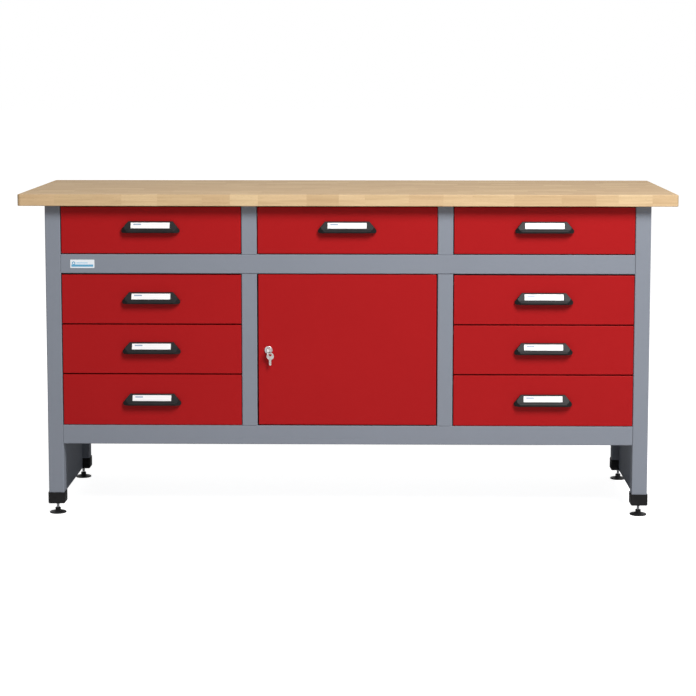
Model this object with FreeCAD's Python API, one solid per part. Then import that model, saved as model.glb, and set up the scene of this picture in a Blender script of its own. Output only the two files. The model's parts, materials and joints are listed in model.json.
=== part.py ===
"""Workbench with nine drawers and a cupboard, in millimetres.

+Z is up and the front faces -Y. The origin is on the floor, below the worktop's middle.
Each node is one file in parts/, and each separate piece is its own solid.
"""
import FreeCAD, Part
import math
import os

V = FreeCAD.Vector
X_AXIS = V(1, 0, 0)
Y_AXIS = V(0, 1, 0)
Z_AXIS = V(0, 0, 1)

# Worktop
TOP_LENGTH = 1700.0
TOP_DEPTH = 600.0
TOP_THICK = 30.0
TOP_CORNER_R = 9.0
TOP_EDGE_R = 2.0
BENCH_HEIGHT = 845.0

# Frame of square legs, folded rails and folded mid posts
LEG = 40.0
LEG_WALL = 2.0
FOLD_R = 2.5
SIDE_OPENING = 470.0
CENTRE_OPENING = 469.0
FRONT_OVERHANG = 30.0
FRAME_DEPTH = 480.0
RAIL_HEIGHT = 50.0
RAIL_DEPTH = 30.0
RAIL_WALL = 2.0
POST_DEPTH = 25.0
LOWER_RAIL_Z = 188.0
UPPER_RAIL_Z = 637.5
JOINT_GAP = 0.4
SHEET = 1.2

# Leg caps and levelling feet
CAP = 44.0
CAP_BOTTOM = 28.0
CAP_HEIGHT = 30.0
CAP_FLOOR = 12.0
CAP_CORNER_R = 3.0
CAP_CHAMFER = 2.5
PAD_R = 22.0
PAD_RIM = 3.5
PAD_NECK_R = 8.0
COLLAR_FLATS = 13.0
COLLAR_BOTTOM = 6.5
COLLAR_TOP = 14.5
STEM_R = 4.0
STEM_TOP = 42.0
STEM_SOCKET_FLOOR = 4.0
RUNNING_CLEARANCE = 0.05

# Drawers
FRONT_DEPTH = 18.0
FRONT_SHEET = 1.2
FRONT_EDGE_R = 1.6
FRONT_LIP = 16.0
GAP_LEFT = 2.0
GAP_RIGHT = 1.2
GAP_BETWEEN = 3.2
LOW_FRONT_GAP = 1.2
LOW_FRONT_HEIGHT = 132.6
COLUMN_FRONT_HEIGHT = 127.9
TOP_FRONT_GAP = 2.2
TOP_FRONT_HEIGHT = 121.5
TRAY_SIDE_GAP = 16.0
TRAY_SHEET = 1.0
TRAY_LIFT = 8.0
TRAY_REAR = 176.0
RIM_BELOW_TOP = 25.0
RIM_REACH_GAP = 3.0
RUNNER_DEPTH = 14.0
RUNNER_INSIDE = 6.0
RUNNER_FRONT_SETBACK = 20.0
RUNNER_REAR = 177.0
RIM_PLAY = 0.6
STOP_HEIGHT = 3.0
STOP_THICK = 2.0
DRAWER_TRAVEL = 330.0

# Drawer pull: a sloping label face over an upright lip, narrower at the top than at the bottom
PULL_TOP_HALF = 57.5
PULL_HALF = 75.5
PULL_HEIGHT = 29.5
PULL_REACH = 18.0
PULL_WALL = 2.5
PULL_EDGE_R = 1.2
PULL_TOP_DEPTH = 5.5
PULL_TOP_DEPTH_INSIDE = 3.6
PULL_SLOPE_RUN = 9.0
PULL_SLOPE_DROP = 20.5
PULL_LIP_SETBACK = 1.8
PULL_LIP_START = 22.0
PULL_LIP_FULL = 24.5
PULL_LIP_CHAMFER = 1.5
PULL_SHOULDER = 8.0
PULL_FOOT_CHAMFER = 2.5
PULL_SIDE_DEPTH = 7.0
PULL_CORNER_RUN = 15.0
PULL_BELOW_TOP_ROW = 41.1
PULL_ABOVE_COLUMN_FRONT = 82.7
LABEL_LENGTH = 101.6
LABEL_HEIGHT = 16.4
LABEL_RECESS = 0.8

# Door, its hinge pins and its lock
DOOR_GAP_LEFT = 3.3
DOOR_GAP_RIGHT = 2.6
DOOR_GAP_TOP = 2.2
DOOR_GAP_BOTTOM = 2.6
PIN_R = 3.0
PIN_FROM_EDGE = 8.0
PIN_FROM_FRONT = 6.5
PIN_IN_DOOR = 3.0
PIN_HEAD_R = 4.2
PIN_HEAD = 2.0
WASHER_R = 5.0
WASHER_PLAY = 0.2
LOCK_FROM_OPENING = 29.7
LOCK_HEAD_R = 10.4
LOCK_HEAD = 3.0
LOCK_BARREL_R = 8.0
LOCK_BARREL = 26.0
LOCK_NUT_FLATS = 20.0
LOCK_NUT = 4.0
PLUG_R = 5.5
PLUG_RECESS = 0.2
CAM_WIDTH = 14.0
CAM_THICK = 2.0
CAM_REACH = 42.0
CAM_TAIL_R = 3.0
CAM_SCREW_R = 5.0
CAM_SCREW_HEAD = 2.0
KEYWAY_DEPTH = 19.0
KEYWAY_PLAY = 0.1

# Keys and their ring
KEY_THICK = 1.8
KEY_BOW_R = 9.5
KEY_HOLE_R = 3.6
KEY_HOLE_FROM_TIP = 6.0
KEY_BLADE = 6.5
KEY_LENGTH = 34.0
KEY_TIP = 2.0
KEY_SHOULDER = 12.5
KEY_NECK = 18.0
KEY_NOTCHES = ((22.0, 1.6), (25.0, 1.0), (28.0, 1.8))
KEY_NOTCH_HALF = 1.4
KEY_NECK_STANDOFF = 12.6
RING_R = 8.6
RING_WIRE_R = 0.6
RING_TOP = 5.4
RING_STANDOFF = 9.8
RING_TO_RIGHT = 1.5
RING_YAW = 34.0
SPARE_KEY_ROUND_RING = 28.0
SPARE_KEY_DROP = 0.8

# Panels and small parts
BACK_SHEET = 1.0
BASE_SHEET = 1.5
SIDE_BOTTOM = 30.0
TOP_FLANGE = 20.0
PARTITION_FRONT_SETBACK = 42.0
PARTITION_SHEET = 1.0
PARTITION_FOLD = 12.0
BADGE_LENGTH = 63.0
BADGE_HEIGHT = 22.0
BADGE_THICK = 0.8
BADGE_X = -688.0
BADGE_CORNER_R = 1.5
SCREW_HEAD_R = 4.2
SCREW_HEAD = 2.4
SCREW_R = 2.0
SCREW_LENGTH = 10.0
SCREW_CROSS = 4.6
SCREW_CROSS_WIDTH = 1.0
SCREW_CROSS_DEPTH = 1.4
BACK_SCREW_STEP = 240.0
WOOD_SCREW_R = 2.5
WOOD_SCREW_LENGTH = 20.0
SIDE_SCREW_YS = (-150.0, 90.0)
REAR_SCREW_XS = (-500.0, 0.0, 500.0)
BASE_FOLD = 15.0
HAIR_GAP = 0.2

# Levels and positions that follow from the dimensions above
TOP_UNDER = BENCH_HEIGHT - TOP_THICK
FRONT_Y = -TOP_DEPTH / 2 + FRONT_OVERHANG
REAR_Y = FRONT_Y + FRAME_DEPTH
CENTRE_HALF = CENTRE_OPENING / 2
POST_OUTER = CENTRE_HALF + LEG
LEG_INNER = POST_OUTER + SIDE_OPENING
LEG_MID = LEG_INNER + LEG / 2
COLUMN_X = (POST_OUTER + LEG_INNER) / 2
LOWER_RAIL_TOP = LOWER_RAIL_Z + RAIL_HEIGHT
UPPER_RAIL_TOP = UPPER_RAIL_Z + RAIL_HEIGHT
CAP_TOP = CAP_BOTTOM + CAP_HEIGHT
LEG_BOTTOM = CAP_BOTTOM + CAP_FLOOR
LEG_CENTRES = {
    "front_left": (-LEG_MID, FRONT_Y + LEG / 2),
    "front_right": (LEG_MID, FRONT_Y + LEG / 2),
    "rear_left": (-LEG_MID, REAR_Y - LEG / 2),
    "rear_right": (LEG_MID, REAR_Y - LEG / 2),
}
REAR_RAIL_LEVELS = (LOWER_RAIL_Z, TOP_UNDER - RAIL_HEIGHT)
BACK_INNER = REAR_Y - BACK_SHEET
REAR_WEB_INNER = BACK_INNER - BASE_SHEET
REAR_FLANGE_Y = REAR_Y - RAIL_DEPTH
LOCK_X = -CENTRE_HALF + LOCK_FROM_OPENING
LOCK_Z = (LOWER_RAIL_TOP + UPPER_RAIL_Z) / 2
PIN_X = CENTRE_HALF - DOOR_GAP_RIGHT - PIN_FROM_EDGE
PIN_Y = FRONT_Y + PIN_FROM_FRONT
DOOR_BOTTOM = LOWER_RAIL_TOP + DOOR_GAP_BOTTOM
DOOR_TOP = UPPER_RAIL_Z - DOOR_GAP_TOP


def column_fronts():
    """Lowest and highest edge of the three drawer fronts in a side column, from the bottom up."""
    low = LOWER_RAIL_TOP + LOW_FRONT_GAP
    heights = (LOW_FRONT_HEIGHT, COLUMN_FRONT_HEIGHT, COLUMN_FRONT_HEIGHT)
    fronts = []
    for height in heights:
        fronts.append((low, low + height))
        low += height + GAP_BETWEEN
    return fronts


def drawer_places():
    """Each drawer's name with its opening's middle, half width, front edges and the pull's top."""
    places = []
    top_low = UPPER_RAIL_TOP + TOP_FRONT_GAP
    top_high = top_low + TOP_FRONT_HEIGHT
    for name, middle, half in (
        ("top_left", -COLUMN_X, SIDE_OPENING / 2),
        ("top_middle", 0.0, CENTRE_HALF),
        ("top_right", COLUMN_X, SIDE_OPENING / 2),
    ):
        places.append((name, middle, half, top_low, top_high, TOP_UNDER - PULL_BELOW_TOP_ROW))
    for side, middle in (("left", -COLUMN_X), ("right", COLUMN_X)):
        for level, (low, high) in zip(("low", "mid", "high"), column_fronts()):
            name = level + "_" + side
            places.append((name, middle, SIDE_OPENING / 2, low, high, low + PULL_ABOVE_COLUMN_FRONT))
    return places


# Helpers
def box(x0, x1, y0, y1, z0, z1):
    """A box between two corners, given in any order."""
    low = V(min(x0, x1), min(y0, y1), min(z0, z1))
    return Part.makeBox(abs(x1 - x0), abs(y1 - y0), abs(z1 - z0), low)


def rod(radius, start, axis, length):
    """A round bar from a point along an axis."""
    return Part.makeCylinder(radius, length, start, axis)


def prism(points, direction):
    """A straight solid over a flat outline of points."""
    wire = Part.makePolygon(points + [points[0]])
    return Part.Face(wire).extrude(direction)


def hexagon(flats, centre, axis_is_y, length):
    """A hexagonal bar of a given width across flats, along +Z or +Y."""
    radius = flats / math.sqrt(3)
    points = []
    for i in range(6):
        a = math.radians(60 * i)
        across = radius * math.cos(a)
        up = radius * math.sin(a)
        step = V(across, 0, up) if axis_is_y else V(across, up, 0)
        points.append(centre + step)
    return prism(points, (Y_AXIS if axis_is_y else Z_AXIS) * length)


def straight_along(edge, axis):
    """True if the edge is a straight one parallel to the axis."""
    if len(edge.Vertexes) != 2:
        return False
    run = edge.Vertexes[1].Point - edge.Vertexes[0].Point
    return run.Length > 0.01 and run.cross(axis).Length < 1e-4 * run.Length


def rounded(shape, radius, test):
    """The shape with a fillet on each edge that passes the test."""
    return shape.makeFillet(radius, [e for e in shape.Edges if test(e)])


def mirrored(shape):
    """The shape on the other side of the bench."""
    return shape.mirror(V(0, 0, 0), X_AXIS)


def save(node, solids):
    """Writes one node, a solid or a list of separate solids, to its own file."""
    solids = solids if isinstance(solids, list) else [solids]
    shape = solids[0] if len(solids) == 1 else Part.makeCompound(solids)
    shape.exportStep("parts/" + node + ".step")


# Worktop and its screws
def worktop_screw_places():
    """Points on the worktop's underside where a screw goes in, and the flange thickness below."""
    places = [(s * (LEG_INNER + TOP_FLANGE / 2), y, SHEET) for s in (-1, 1) for y in SIDE_SCREW_YS]
    places += [(x, REAR_Y - RAIL_DEPTH / 2, BASE_SHEET) for x in REAR_SCREW_XS]
    return places


def worktop():
    half_x = TOP_LENGTH / 2
    half_y = TOP_DEPTH / 2
    board = box(-half_x, half_x, -half_y, half_y, TOP_UNDER, BENCH_HEIGHT)
    board = rounded(board, TOP_CORNER_R, lambda e: straight_along(e, Z_AXIS))
    return rounded(board, TOP_EDGE_R, lambda e: not straight_along(e, Z_AXIS))


def worktop_screws():
    """Screws through the flanges under the worktop, whose threads bite into the wood."""
    screws = []
    for x, y, flange in worktop_screw_places():
        under = TOP_UNDER - flange
        head = rod(SCREW_HEAD_R, V(x, y, under - SCREW_HEAD), Z_AXIS, SCREW_HEAD)
        head = rounded(head, 1.0, lambda e: abs(e.BoundBox.ZMax - (under - SCREW_HEAD)) < 0.01)
        shank = rod(WOOD_SCREW_R, V(x, y, under), Z_AXIS, WOOD_SCREW_LENGTH - BASE_SHEET + flange)
        screws.append(head.fuse(shank).removeSplitter())
    return screws


# Frame
def leg(centre):
    x, y = centre
    half = LEG / 2
    outer = box(x - half, x + half, y - half, y + half, LEG_BOTTOM, TOP_UNDER)
    outer = rounded(outer, FOLD_R, lambda e: straight_along(e, Z_AXIS))
    bore = half - LEG_WALL
    return outer.cut(box(x - bore, x + bore, y - bore, y + bore, LEG_BOTTOM - 1, TOP_UNDER + 1))


def folded_rail(half_length, z0, web_y, depth, wall):
    """A C-shaped rail along X with its web at web_y; a negative depth folds its flanges to -Y."""
    outer = box(-half_length, half_length, web_y, web_y + depth, z0, z0 + RAIL_HEIGHT)
    outer = rounded(
        outer,
        FOLD_R,
        lambda e: straight_along(e, X_AXIS) and abs(e.BoundBox.YMax - web_y) < 0.01,
    )
    inward = math.copysign(wall, depth)
    inside = box(
        -half_length - 1,
        half_length + 1,
        web_y + inward,
        web_y + depth + inward,
        z0 + wall,
        z0 + RAIL_HEIGHT - wall,
    )
    return outer.cut(inside)


def front_rail(z0, pin_flange_z):
    """A front rail with the hole for the door's hinge pin in one flange."""
    rail = folded_rail(LEG_INNER - JOINT_GAP, z0, FRONT_Y, RAIL_DEPTH, RAIL_WALL)
    hole = rod(PIN_R, V(PIN_X, PIN_Y, pin_flange_z - 1), Z_AXIS, RAIL_WALL + 2)
    return rail.cut(hole)


def mid_post(x_inner, z0, z1):
    """A C-shaped post with its web at the front, from x_inner outwards on the right side."""
    x1 = x_inner + LEG
    outer = box(x_inner, x1, FRONT_Y, FRONT_Y + POST_DEPTH, z0, z1)
    outer = rounded(
        outer,
        FOLD_R,
        lambda e: straight_along(e, Z_AXIS) and abs(e.BoundBox.YMax - FRONT_Y) < 0.01,
    )
    inside = box(
        x_inner + RAIL_WALL,
        x1 - RAIL_WALL,
        FRONT_Y + RAIL_WALL,
        FRONT_Y + POST_DEPTH + 1,
        z0 - 1,
        z1 + 1,
    )
    return outer.cut(inside)


def mid_posts():
    posts = []
    for z0, z1 in ((LOWER_RAIL_TOP, UPPER_RAIL_Z), (UPPER_RAIL_TOP, TOP_UNDER)):
        post = mid_post(CENTRE_HALF, z0 + JOINT_GAP, z1 - JOINT_GAP)
        posts += [post, mirrored(post)]
    return posts


def rear_rails():
    rails = []
    for z0 in REAR_RAIL_LEVELS:
        rail = folded_rail(LEG_INNER - JOINT_GAP, z0, BACK_INNER, -(RAIL_DEPTH - BACK_SHEET), BASE_SHEET)
        for x, z in back_screw_places():
            rail = rail.cut(rod(SCREW_R, V(x, BACK_INNER - 3, z), Y_AXIS, 5))
        for x, y, _ in worktop_screw_places():
            rail = rail.cut(rod(WOOD_SCREW_R, V(x, y, TOP_UNDER - 3), Z_AXIS, 5))
        rails.append(rail)
    return rails


def side_panel():
    """The right side panel: a sheet in the middle of the legs, with a top flange folded inwards."""
    rear = REAR_Y - LEG
    front = FRONT_Y + LEG
    outer_x = LEG_MID + SHEET / 2
    sheet = box(LEG_MID - SHEET / 2, outer_x, front, rear, SIDE_BOTTOM, TOP_UNDER)
    flange = box(LEG_INNER, outer_x, front, rear, TOP_UNDER - SHEET, TOP_UNDER)
    panel = sheet.fuse(flange).removeSplitter()
    panel = rounded(
        panel,
        SHEET,
        lambda e: straight_along(e, Y_AXIS)
        and abs(e.BoundBox.XMax - outer_x) < 0.01
        and abs(e.BoundBox.ZMin - TOP_UNDER) < 0.01,
    )
    for x, y, _ in worktop_screw_places():
        panel = panel.cut(rod(WOOD_SCREW_R, V(x, y, TOP_UNDER - 3), Z_AXIS, 5))
    for name in ("front_right", "rear_right"):
        panel = panel.cut(cap_block(LEG_CENTRES[name]))
    return panel


def cap_block(centre):
    x, y = centre
    half = CAP / 2
    return box(x - half, x + half, y - half, y + half, CAP_BOTTOM, CAP_TOP)


def leg_cap(centre):
    """A plastic cap pushed over a leg's end, with a threaded hole for the levelling foot."""
    x, y = centre
    cap = cap_block(centre)
    cap = rounded(cap, CAP_CORNER_R, lambda e: straight_along(e, Z_AXIS))
    lower = [e for e in cap.Edges if abs(e.BoundBox.ZMax - CAP_BOTTOM) < 0.01]
    cap = cap.makeChamfer(CAP_CHAMFER, lower)
    half = LEG / 2
    cap = cap.cut(box(x - half, x + half, y - half, y + half, LEG_BOTTOM, CAP_TOP + 1))
    bore = STEM_R + RUNNING_CLEARANCE
    return cap.cut(rod(bore, V(x, y, CAP_BOTTOM - 1), Z_AXIS, CAP_FLOOR + 2))


def levelling_foot(centre):
    """A threaded stem moulded into a round pad with a hexagonal collar."""
    x, y = centre
    outline = Part.makePolygon([V(0, 0, 0), V(PAD_R - 1, 0, 0), V(PAD_R, 0, 1), V(PAD_R, 0, PAD_RIM - 1)])
    rim_arc = Part.Arc(
        V(PAD_R, 0, PAD_RIM - 1), V(PAD_R - 0.4, 0, PAD_RIM - 0.35), V(PAD_R - 1.5, 0, PAD_RIM)
    ).toShape()
    dome = Part.Arc(
        V(PAD_R - 1.5, 0, PAD_RIM), V(PAD_R - 7, 0, PAD_RIM + 2.1), V(PAD_NECK_R, 0, COLLAR_BOTTOM + 1)
    ).toShape()
    close = Part.makePolygon([V(PAD_NECK_R, 0, COLLAR_BOTTOM + 1), V(0, 0, COLLAR_BOTTOM + 1), V(0, 0, 0)])
    wire = Part.Wire(outline.Edges + [rim_arc, dome] + close.Edges)
    pad = Part.Face(wire).revolve(V(0, 0, 0), Z_AXIS, 360)
    pad.translate(V(x, y, 0))
    collar = hexagon(COLLAR_FLATS, V(x, y, COLLAR_BOTTOM), False, COLLAR_TOP - COLLAR_BOTTOM)
    pad = pad.fuse(collar).removeSplitter()
    pad = pad.cut(rod(STEM_R, V(x, y, STEM_SOCKET_FLOOR), Z_AXIS, COLLAR_TOP))
    stem = rod(STEM_R, V(x, y, STEM_SOCKET_FLOOR), Z_AXIS, STEM_TOP - STEM_SOCKET_FLOOR)
    stem = stem.makeChamfer(0.6, [e for e in stem.Edges if abs(e.BoundBox.ZMin - STEM_TOP) < 0.01])
    return [pad, stem]


# Panels that close the carcass
def back_screw_places():
    levels = [z + RAIL_HEIGHT / 2 for z in REAR_RAIL_LEVELS]
    return [(BACK_SCREW_STEP * i, z) for i in range(-3, 4) for z in levels]


def back_panel():
    half = LEG_INNER - JOINT_GAP
    panel = box(-half, half, BACK_INNER, REAR_Y, LOWER_RAIL_Z + 1, TOP_UNDER - 1)
    for x, z in back_screw_places():
        panel = panel.cut(rod(SCREW_R, V(x, BACK_INNER - 1, z), Y_AXIS, 3))
    return panel


def back_screws():
    """Round-headed screws with a cross recess, through the back panel into the rear rails."""
    screws = []
    end = REAR_Y + SCREW_HEAD
    for x, z in back_screw_places():
        head = rod(SCREW_HEAD_R, V(x, REAR_Y, z), Y_AXIS, SCREW_HEAD)
        head = rounded(head, 1.2, lambda e: abs(e.BoundBox.YMin - end) < 0.01)
        shank = rod(SCREW_R, V(x, REAR_Y, z), Y_AXIS * -1, SCREW_LENGTH)
        screw = head.fuse(shank).removeSplitter()
        for half_x, half_z in (
            (SCREW_CROSS / 2, SCREW_CROSS_WIDTH / 2),
            (SCREW_CROSS_WIDTH / 2, SCREW_CROSS / 2),
        ):
            slot = box(
                x - half_x, x + half_x, end - SCREW_CROSS_DEPTH, end + 1, z - half_z, z + half_z
            )
            screw = screw.cut(slot)
        screws.append(screw)
    return screws


def partition():
    """The right partition: two steel skins, flush with the mid post's sides, folded inwards."""
    front = FRONT_Y + PARTITION_FRONT_SETBACK
    rear = REAR_WEB_INNER
    top = TOP_UNDER - 1
    rail_notch = box(
        CENTRE_HALF - 1, POST_OUTER + 1, REAR_FLANGE_Y - 0.5, REAR_Y, REAR_RAIL_LEVELS[1] - 0.5, TOP_UNDER
    )
    skins = []
    for x, inward in ((CENTRE_HALF, 1), (POST_OUTER, -1)):
        face = x + inward * PARTITION_SHEET
        fold = x + inward * PARTITION_FOLD
        skin = box(x, face, front, rear, LOWER_RAIL_TOP, top)
        skin = skin.fuse(box(x, fold, front, front + PARTITION_SHEET, LOWER_RAIL_TOP, top))
        skin = skin.fuse(box(x, fold, rear - PARTITION_SHEET, rear, LOWER_RAIL_TOP, top))
        skins.append(skin.removeSplitter().cut(rail_notch))
    return skins


def base_panel():
    """The carcass floor, level with the lower rail's top and folded down at the front and rear."""
    x1 = LEG_MID - SHEET / 2 - HAIR_GAP
    front = FRONT_Y + RAIL_DEPTH
    rear = REAR_FLANGE_Y
    low = LOWER_RAIL_TOP - BASE_SHEET
    panel = box(-x1, x1, front, rear, low, LOWER_RAIL_TOP)
    for y in (front, rear - BASE_SHEET):
        fold = box(-LEG_INNER + 1, LEG_INNER - 1, y, y + BASE_SHEET, low - BASE_FOLD, low)
        panel = panel.fuse(fold)
    panel = panel.removeSplitter()
    for x, y in LEG_CENTRES.values():
        half = LEG / 2 + HAIR_GAP
        panel = panel.cut(
            box(x - half, x + half, y - half, y + half, low - BASE_FOLD - 1, LOWER_RAIL_TOP + 1)
        )
    return panel


def badge():
    half = BADGE_LENGTH / 2
    z = UPPER_RAIL_Z + RAIL_HEIGHT / 2
    low = z - BADGE_HEIGHT / 2
    plate = box(BADGE_X - half, BADGE_X + half, FRONT_Y - BADGE_THICK, FRONT_Y, low, low + BADGE_HEIGHT)
    return rounded(plate, BADGE_CORNER_R, lambda e: straight_along(e, Y_AXIS))


# Drawers and their runners
def front_shell(x0, x1, z0, z1, lip_top):
    """A folded steel front: rounded face, side returns, and lips around an opening at its rear."""
    rear = FRONT_Y + FRONT_DEPTH
    shell = box(x0, x1, FRONT_Y, rear, z0, z1)
    shell = rounded(
        shell,
        FRONT_EDGE_R,
        lambda e: straight_along(e, Y_AXIS) or abs(e.BoundBox.YMax - FRONT_Y) < 0.01,
    )
    s = FRONT_SHEET
    shell = shell.cut(box(x0 + s, x1 - s, FRONT_Y + s, rear - s, z0 + s, z1 - s))
    lip = FRONT_LIP
    return shell.cut(box(x0 + lip, x1 - lip, rear - s - 1, rear + 1, z0 + lip, z1 - lip_top))


def drawer_front(middle, half, low, high):
    return front_shell(middle - half + GAP_LEFT, middle + half - GAP_RIGHT, low, high, RIM_BELOW_TOP + 3)


def drawer_tray(middle, half, low, high):
    """An open steel tray whose side rims hang in the runners, with a stop tab on each rim."""
    side = half - TRAY_SIDE_GAP
    reach = half - RIM_REACH_GAP
    front = FRONT_Y + FRONT_DEPTH
    floor = low + TRAY_LIFT
    rim = high - RIM_BELOW_TOP
    top = rim + SHEET
    t = TRAY_SHEET
    tray = box(middle - side, middle + side, front, TRAY_REAR, floor, top)
    tray = rounded(
        tray,
        2.0,
        lambda e: abs(e.BoundBox.ZMax - floor) < 0.01 and straight_along(e, Y_AXIS),
    )
    tray = tray.cut(
        box(middle - side + t, middle + side - t, front + t, TRAY_REAR - t, floor + t, top + 1)
    )
    stop_y = FRONT_Y + RUNNER_FRONT_SETBACK + STOP_THICK + DRAWER_TRAVEL + 0.5
    for s in (-1, 1):
        inner = middle + s * side
        outer = middle + s * reach
        tray = tray.fuse(box(inner - s * t, outer, front + 2, TRAY_REAR, rim, top))
        tab = box(inner + s * 3, outer, stop_y, stop_y + STOP_THICK, top, top + STOP_HEIGHT)
        tray = tray.fuse(tab)
    return tray.removeSplitter()


def runner_pair(middle, half, high):
    """Two C-channels that hold a tray's rims, each with a stop lip at its front end."""
    rim = high - RIM_BELOW_TOP
    inside_low = rim - RIM_PLAY
    inside_high = inside_low + RUNNER_INSIDE
    front = FRONT_Y + RUNNER_FRONT_SETBACK
    pair = []
    for s in (-1, 1):
        wall = middle + s * half
        web = wall - s * SHEET
        edge = wall - s * RUNNER_DEPTH
        channel = box(wall, edge, front, RUNNER_REAR, inside_low - SHEET, inside_high + SHEET)
        channel = channel.cut(box(web, edge - s, front - 1, RUNNER_REAR + 1, inside_low, inside_high))
        lip = box(web, edge, front, front + STOP_THICK, inside_high - STOP_HEIGHT, inside_high)
        pair.append(channel.fuse(lip).removeSplitter())
    return pair


def pull_block(top_half, half, height, reach, top_depth, back_y, inset):
    """The pull's outer or inner form: one profile cut by its front outline and its plan outline."""
    low = -height
    shoulder = low + PULL_SHOULDER - inset
    profile = [
        V(0, back_y, -inset),
        V(0, -top_depth, -inset),
        V(0, -top_depth - PULL_SLOPE_RUN, -PULL_SLOPE_DROP),
        V(0, -reach + PULL_LIP_SETBACK, -PULL_LIP_START),
        V(0, -reach, -PULL_LIP_FULL),
        V(0, -reach, low + PULL_LIP_CHAMFER),
        V(0, -reach + PULL_LIP_CHAMFER, low),
        V(0, back_y, low),
    ]
    side = prism([p + V(-half - 1, 0, 0) for p in profile], X_AXIS * (2 * half + 2))
    outline = [
        V(-top_half, 0, -inset),
        V(top_half, 0, -inset),
        V(half, 0, shoulder),
        V(half, 0, low + PULL_FOOT_CHAMFER),
        V(half - PULL_FOOT_CHAMFER, 0, low),
        V(-half + PULL_FOOT_CHAMFER, 0, low),
        V(-half, 0, low + PULL_FOOT_CHAMFER),
        V(-half, 0, shoulder),
    ]
    face = prism([p + V(0, -reach - 1, 0) for p in outline], Y_AXIS * (reach + 3))
    plan = [
        V(-half, back_y, low - 1),
        V(half, back_y, low - 1),
        V(half, -PULL_SIDE_DEPTH + inset, low - 1),
        V(half - PULL_CORNER_RUN, -reach, low - 1),
        V(-half + PULL_CORNER_RUN, -reach, low - 1),
        V(-half, -PULL_SIDE_DEPTH + inset, low - 1),
    ]
    return side.common(face).common(prism(plan, Z_AXIS * (height + 2)))


def drawer_pull(middle, top):
    """A moulded hood over a finger gap, with a recess for a label on its sloping face."""
    hood = pull_block(PULL_TOP_HALF, PULL_HALF, PULL_HEIGHT, PULL_REACH, PULL_TOP_DEPTH, 0.0, 0.0)
    hood = rounded(
        hood,
        PULL_EDGE_R,
        lambda e: e.BoundBox.YMin < -1 and e.BoundBox.ZMax > -PULL_HEIGHT + 0.01,
    )
    w = PULL_WALL
    inner = pull_block(
        PULL_TOP_HALF - w,
        PULL_HALF - w,
        PULL_HEIGHT + 2,
        PULL_REACH - w,
        PULL_TOP_DEPTH_INSIDE,
        1.0,
        w,
    )
    hood = hood.cut(inner)
    tilt = math.degrees(math.atan2(PULL_SLOPE_RUN, PULL_SLOPE_DROP))
    recess = box(
        -LABEL_LENGTH / 2, LABEL_LENGTH / 2, -3, LABEL_RECESS, -LABEL_HEIGHT / 2, LABEL_HEIGHT / 2
    )
    recess.rotate(V(0, 0, 0), X_AXIS, -tilt)
    recess.translate(V(0, -PULL_TOP_DEPTH - PULL_SLOPE_RUN / 2, -PULL_SLOPE_DROP / 2))
    hood = hood.cut(recess)
    hood.translate(V(middle, FRONT_Y, top))
    return hood


# Door, lock and keys
def door_panel():
    door = front_shell(
        -CENTRE_HALF + DOOR_GAP_LEFT, CENTRE_HALF - DOOR_GAP_RIGHT, DOOR_BOTTOM, DOOR_TOP, FRONT_LIP
    )
    hole = PIN_R + RUNNING_CLEARANCE
    for z in (DOOR_BOTTOM, DOOR_TOP):
        door = door.cut(rod(hole, V(PIN_X, PIN_Y, z - 3), Z_AXIS, 6))
    return door.cut(rod(LOCK_BARREL_R, V(LOCK_X, FRONT_Y - 1, LOCK_Z), Y_AXIS, 4))


def hinge_pins():
    """Two headed pins: one through the upper rail's lower flange, one through the lower rail's top."""
    pins = []
    for rail_face, into_rail in ((UPPER_RAIL_Z, 1), (LOWER_RAIL_TOP, -1)):
        gap = DOOR_GAP_TOP if into_rail > 0 else DOOR_GAP_BOTTOM
        axis = Z_AXIS * into_rail
        in_door = gap + FRONT_SHEET + PIN_IN_DOOR
        pin = rod(PIN_R, V(PIN_X, PIN_Y, rail_face - into_rail * in_door), axis, in_door + RAIL_WALL)
        head = rod(PIN_HEAD_R, V(PIN_X, PIN_Y, rail_face + into_rail * RAIL_WALL), axis, PIN_HEAD)
        pins.append(pin.fuse(head).removeSplitter())
    return pins


def hinge_washers():
    """Nylon washers around the hinge pins, between the rails and the door."""
    washers = []
    for rail_face, gap, up in ((UPPER_RAIL_Z, DOOR_GAP_TOP, -1), (LOWER_RAIL_TOP, DOOR_GAP_BOTTOM, 1)):
        start = V(PIN_X, PIN_Y, rail_face)
        axis = Z_AXIS * up
        disc = rod(WASHER_R, start, axis, gap - WASHER_PLAY)
        washers.append(disc.cut(rod(PIN_R, start, axis, gap)))
    return washers


def lock_housing():
    """The lock's chromed head and barrel with a bore for the plug, and the nut behind the door."""
    start = V(LOCK_X, FRONT_Y - LOCK_HEAD, LOCK_Z)
    head = rod(LOCK_HEAD_R, start, Y_AXIS, LOCK_HEAD)
    head = rounded(head, 1.2, lambda e: abs(e.BoundBox.YMax - (FRONT_Y - LOCK_HEAD)) < 0.01)
    barrel = rod(LOCK_BARREL_R, V(LOCK_X, FRONT_Y, LOCK_Z), Y_AXIS, LOCK_BARREL)
    housing = head.fuse(barrel).removeSplitter()
    housing = housing.cut(rod(PLUG_R + RUNNING_CLEARANCE, start, Y_AXIS, LOCK_HEAD + LOCK_BARREL))
    nut = hexagon(LOCK_NUT_FLATS, V(LOCK_X, FRONT_Y + FRONT_SHEET, LOCK_Z), True, LOCK_NUT)
    nut = nut.cut(rod(LOCK_BARREL_R, V(LOCK_X, FRONT_Y, LOCK_Z), Y_AXIS, LOCK_NUT + 4))
    return [housing, nut]


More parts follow.
